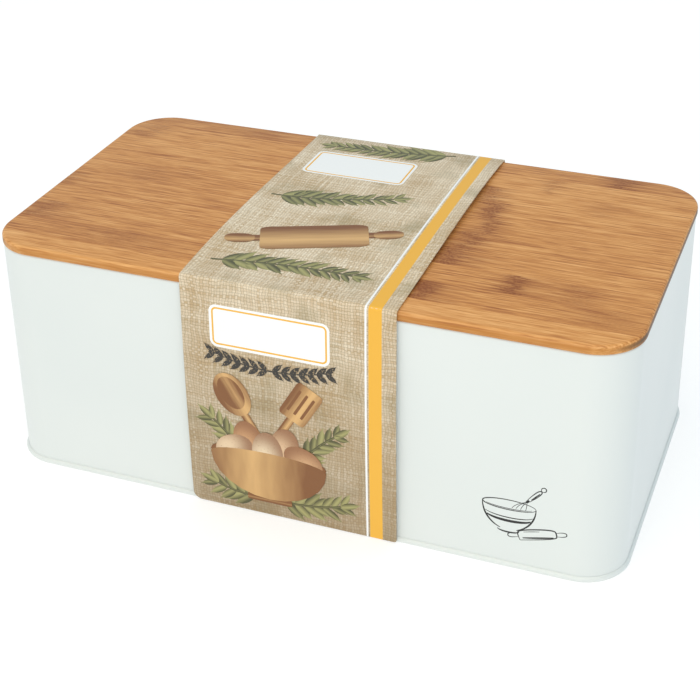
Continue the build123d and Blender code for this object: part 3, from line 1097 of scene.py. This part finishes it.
class FlatPrint:
    """Shapes stamped on the flat strip, each a little over the one before so that none share a plane."""

    ink_depth = 0.01 * MM

    def __init__(self, level, level_step):
        self.level = level
        self.level_step = level_step
        self.bm = bmesh.new()
        self.bm.loops.layers.uv.new("shape")
        self.tone = self.bm.faces.layers.float.new("tone")

    def stamp(self, shape, place, turn, size_x, size_y, tone=0.0):
        """Print a copy of a shape at a place on the strip, turned and sized, all in mm."""
        old_verts = len(self.bm.verts)
        old_faces = len(self.bm.faces)
        self.bm.from_mesh(shape)
        self.bm.verts.ensure_lookup_table()
        self.bm.faces.ensure_lookup_table()
        self.level += self.level_step
        matrix = Matrix.Translation((place.x * MM, place.y * MM, self.level)) @ Matrix.Rotation(turn, 4, "Z")
        matrix = matrix @ Matrix.Diagonal((size_x * MM, size_y * MM, 1, 1))
        bmesh.ops.transform(self.bm, matrix=matrix, verts=self.bm.verts[old_verts:])
        for face in self.bm.faces[old_faces:]:
            face[self.tone] = tone

    def row(self, place, turn, stamps):
        """Print shapes about a line, each as (shape, distance along, distance aside, length, width, tone)."""
        onward = Vector((math.cos(turn), math.sin(turn)))
        for shape, along, aside, size_x, size_y, tone in stamps:
            here = place + onward * along + onward.orthogonal() * aside
            self.stamp(shape, here, turn, size_x, size_y, tone)

    def finish(self, sleeve, strip, name, material):
        """Give the ink its depth, fold it with the strip and hand it over as a piece."""
        score(self.bm, strip)
        self.bm.normal_update()
        down = [face for face in self.bm.faces if face.normal.z < 0]
        bmesh.ops.reverse_faces(self.bm, faces=down)
        bmesh.ops.solidify(self.bm, geom=self.bm.faces[:], thickness=self.ink_depth)
        fold_over_lid(self.bm, sleeve, strip)
        add_piece(self.bm, name, [material], "sleeve")


def print_sprig(sheet, leaf, bar, draw, foot, tip, sway):
    """Print a leafy sprig: a bent stem, pairs of leaves that shrink towards its tip, one leaf at the tip."""
    run = tip - foot
    side = Vector((-run.y, run.x)).normalized()
    bend = (foot + tip) / 2 + side * sway
    pairs = int(run.length / PAIR_SPACING)
    overlap = 1.25
    for pair in range(pairs):
        share = (pair + 1) / (pairs + 1)
        here = foot.lerp(bend, share).lerp(bend.lerp(tip, share), share)
        ahead = bend.lerp(tip, share) - foot.lerp(bend, share)
        heading = math.atan2(ahead.y, ahead.x)
        step = run.length / (pairs + 1)
        sheet.stamp(bar, here - ahead.normalized() * step / 2, heading, step * overlap, STEM_WIDTH, 0.25)
        size = LEAF_LENGTH * (1 - LEAF_SHRINK * share)
        for hand in (1, -1):
            lean = heading + hand * draw.uniform(0.55, 0.85)
            reach = size * draw.uniform(0.85, 1.1)
            sheet.stamp(leaf, here, lean, reach, size * LEAF_WIDTH, draw.uniform(-0.14, 0.16))
    sheet.stamp(leaf, here, heading, *TIP_LEAF, -0.05)


class BREADBOX_OT_sleeve_print(bpy.types.Operator):
    """Print the sleeve's motifs: leafy sprigs, wooden utensils, a bowl of eggs and a garland"""

    bl_idname = "bread_box.sleeve_print"
    bl_label = "Sleeve print"

    def execute(self, context):
        sleeve = context.scene.bread_box.sleeve
        strip = flat_strip(sleeve)
        leaf = disc_shape("leaf", 0, 1, 1, 0.22)
        disc = disc_shape("disc", -0.5, 1, 1, 0)
        egg = disc_shape("egg", -0.5, 1, 1.28, 0)
        bowl = disc_shape("bowl", -0.5, 0.22, 1, 0)
        bar = bar_shape("bar", 0.12)
        knob = bar_shape("knob", 0.42)
        wood = printed_shape("printed_wood", sleeve.wood_light, sleeve.wood_dark)
        green = printed_shape("printed_leaf", sleeve.leaf_light, sleeve.leaf_dark)
        draw = random.Random(11)
        first_level = 0.012 * MM
        leaf_layer = 0.0006 * MM
        layer = 0.008 * MM
        foot_line = Vector((0, -strip.half / MM))
        back_foot = Vector((0, strip.half / MM))

        # Sprigs as (origin, foot, tip, sway): on the front skirt, on the top panel, on the back skirt
        top_middle = Vector((0, 0))
        sprigs = FlatPrint(first_level, leaf_layer)
        for origin, foot, tip, sway in (
            (foot_line, (-22, 22), (-45, 55), -7),
            (foot_line, (-2, 22), (28, 58), 7),
            (foot_line, (-16, 10), (-45, 15), 4),
            (foot_line, (-8, 10), (31, 16), -4),
            (top_middle, (-47, 4), (20, 22), -6),
            (top_middle, (-46, -72), (30, -66), 6),
            (top_middle, (28, 84), (-44, 76), 5),
            (back_foot, (-44, -24), (30, -30), 5),
            (back_foot, (34, -110), (-40, -106), 5),
        ):
            print_sprig(sprigs, leaf, bar, draw, Vector(foot) + origin, Vector(tip) + origin, sway)
        sprigs.finish(sleeve, strip, "sleeve_sprigs", green)

        # Utensils: a rolling pin on the top panel, a slotted turner and a spoon leaning out of the bowl
        utensils = FlatPrint(sprigs.level, layer)
        utensils.row(Vector((-8, -34)), math.radians(22), (
            (bar, -28.5, 0, 6, 6, 0.25), (bar, 28.5, 0, 6, 6, 0.25), (knob, -37, 0, 15, 9, 0.08),
            (knob, 37, 0, 15, 9, 0.08), (bar, 0, 0, 54, 24, -0.02),
        ))
        slots = [(bar, 44, aside, 14, 1.5, 0.45) for aside in (-4, 0, 4)]
        utensils.row(Vector((-16, 32)) + foot_line, math.radians(59), [
            (bar, 18, 0, 40, 4.4, 0.0), (bar, 44, 0, 22, 15, -0.05), *slots,
        ])
        utensils.row(Vector((-8, 32)) + foot_line, math.radians(121), (
            (bar, 18, 0, 40, 4.4, 0.02), (disc, 42, 0, 25, 18, -0.02), (disc, 43, 0, 19, 12.5, 0.2),
        ))
        down = -math.pi / 2
        utensils.stamp(disc, Vector((-12, 34)) + foot_line, down, 15, 62, 0.35)
        utensils.finish(sleeve, strip, "sleeve_utensils", wood)

        # Eggs in the bowl as (place, turn in degrees, length, tone)
        eggs = FlatPrint(utensils.level, layer)
        for place, turn, size, tone in (
            ((-22, 42), 100, 19, 0.9),
            ((-3, 42), 80, 19, 0.5),
            ((-31, 36), 30, 19, 0.2),
            ((8, 36), 150, 19, 0.8),
            ((-12, 37), 90, 20, 0.0),
        ):
            eggs.stamp(egg, Vector(place) + foot_line, math.radians(turn), size, size * EGG_WIDTH, tone)
        eggs.finish(sleeve, strip, "sleeve_eggs", printed_eggshell(sleeve))

        # Front of the bowl, over the eggs
        pot = FlatPrint(eggs.level, layer)
        pot.stamp(bar, Vector((-12, 9.5)) + foot_line, 0, 24, 4, 0.3)
        pot.stamp(bowl, Vector((-12, 32.5)) + foot_line, down, 46, 62, 0.02)
        pot.finish(sleeve, strip, "sleeve_bowl", wood)

        # Garland under the front label: a stem that bends up at both ends, with pairs of leaves
        garland = FlatPrint(sprigs.level, leaf_layer)
        pairs = 7
        spacing = 4.6
        first = 1.5
        rise = 0.12
        middle_x = -9
        height = 85.5
        leaf_length = 6.0
        for hand in (1, -1):
            for pair in range(pairs):
                along = hand * (first + spacing * pair) + middle_x
                here = foot_line + Vector((along, rise * pair * pair + height))
                for shape, tilt, width in ((leaf, 0.75, 2.6), (leaf, -0.65, 2.6), (bar, 0.05, 0.7)):
                    turn = tilt if hand > 0 else math.pi - tilt
                    garland.stamp(shape, here, turn, leaf_length, width)
        garland.finish(sleeve, strip, "sleeve_garland", printed_charcoal(sleeve))
        for shape in (leaf, disc, egg, bowl, bar, knob):
            bpy.data.meshes.remove(shape)
        return {"FINISHED"}


class BREADBOX_OT_stage(bpy.types.Operator):
    """Set the floor, the soft lights and the camera"""

    bl_idname = "bread_box.stage"
    bl_label = "Stage"

    floor_half = 6.0
    floor_gap = 0.05 * MM
    aim_height = 0.06
    photo_width = 700.0
    sensor = 36.0
    surround_strength = 0.68

    def execute(self, context):
        stage = context.scene.bread_box.stage
        scene = context.scene
        bm = bmesh.new()
        ground = Matrix.Translation((0, 0, CAD_BOX[0].z - self.floor_gap))
        bmesh.ops.create_grid(bm, x_segments=4, y_segments=4, size=self.floor_half, matrix=ground)
        mesh = mesh_from(bm, "floor")
        mesh.materials.append(pale_floor(stage))
        floor = add_object("floor", mesh)

        world = bpy.data.worlds.new("surround")
        world.use_nodes = True
        background = world.node_tree.nodes["Background"]
        background.inputs["Color"].default_value = stage.surround
        background.inputs["Strength"].default_value = self.surround_strength
        scene.world = world
        scene.view_settings.view_transform = "Standard"

        # A wide soft sun keeps the floor evenly white, and a box in front lights the near sides
        wide_sun = {"energy": 1.4, "angle": math.radians(100), "color": stage.sun[:3]}
        soft_box = {"energy": 1.12, "size": 0.5, "color": stage.lamp[:3]}
        for name, kind, settings, place in (
            ("ceiling", "SUN", wide_sun, (-0.3, -0.8, 1.7)),
            ("front_box", "AREA", soft_box, (0.2, -0.55, 0.62)),
        ):
            lamp = bpy.data.lights.new(name, kind)
            for key, value in settings.items():
                setattr(lamp, key, value)
            light = add_object(name, lamp)
            light.location = place
            aim = Vector((0, 0, self.aim_height)) - Vector(place)
            light.rotation_euler = aim.to_track_quat("-Z", "Y").to_euler()

        camera = add_object("camera", bpy.data.cameras.new("camera"))
        camera.data.sensor_width = self.sensor
        camera.data.lens = self.sensor * stage.focal / self.photo_width
        camera.data.shift_y = stage.centre_row / self.photo_width - 0.5
        back = Vector((
            math.sin(stage.azimuth) * math.cos(stage.elevation),
            -math.cos(stage.azimuth) * math.cos(stage.elevation),
            math.sin(stage.elevation),
        ))
        level_right = Vector((math.cos(stage.azimuth), math.sin(stage.azimuth), 0))
        level_up = back.cross(level_right)
        right = level_right * math.cos(stage.roll) + level_up * math.sin(stage.roll)
        up = level_up * math.cos(stage.roll) - level_right * math.sin(stage.roll)
        target = Vector((0, 0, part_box("lid_stave_05")[1].z / 2))
        eye = target + back * stage.distance + right * stage.aside + up * stage.upward
        axes = Matrix((right, up, back)).transposed().to_4x4()
        camera.matrix_world = Matrix.Translation(eye) @ axes
        scene.camera = camera
        return {"FINISHED"}


class BREADBOX_PT_panel(bpy.types.Panel):
    """The steps that dress the bread box, in order"""

    bl_idname = "BREADBOX_PT_panel"
    bl_label = "Bread Box"
    bl_space_type = "VIEW_3D"
    bl_region_type = "UI"
    bl_category = "Bread Box"

    def draw(self, context):
        for operator in OPERATORS:
            self.layout.operator(operator.bl_idname)
        for group in ("tin", "lid", "sleeve", "stage"):
            box = self.layout.box()
            settings = getattr(context.scene.bread_box, group)
            for name in settings.__annotations__:
                box.prop(settings, name)


OPERATORS = (
    BREADBOX_OT_tin_wall,
    BREADBOX_OT_tin_base,
    BREADBOX_OT_tin_drawing,
    BREADBOX_OT_upper_staves,
    BREADBOX_OT_plug_staves,
    BREADBOX_OT_sleeve,
    BREADBOX_OT_sleeve_print,
    BREADBOX_OT_stage,
)
SETTINGS = (TinSettings, LidSettings, SleeveSettings, StageSettings, BreadBoxSettings)
CLASSES = SETTINGS + OPERATORS + (BREADBOX_PT_panel,)


def register():
    """Register the classes and hang the settings on the scene."""
    for cls in CLASSES:
        bpy.utils.register_class(cls)
    bpy.types.Scene.bread_box = PointerProperty(type=BreadBoxSettings)


def unregister():
    """Take the settings and the classes away again."""
    del bpy.types.Scene.bread_box
    for cls in reversed(CLASSES):
        bpy.utils.unregister_class(cls)


def main():
    """Dress the bread box, piece by piece."""
    register()
    bpy.ops.bread_box.tin_wall()
    bpy.ops.bread_box.tin_base()
    bpy.ops.bread_box.tin_drawing()
    bpy.ops.bread_box.upper_staves()
    bpy.ops.bread_box.plug_staves()
    bpy.ops.bread_box.sleeve()
    bpy.ops.bread_box.sleeve_print()
    bpy.ops.bread_box.stage()


if __name__ == "__main__":
    main()
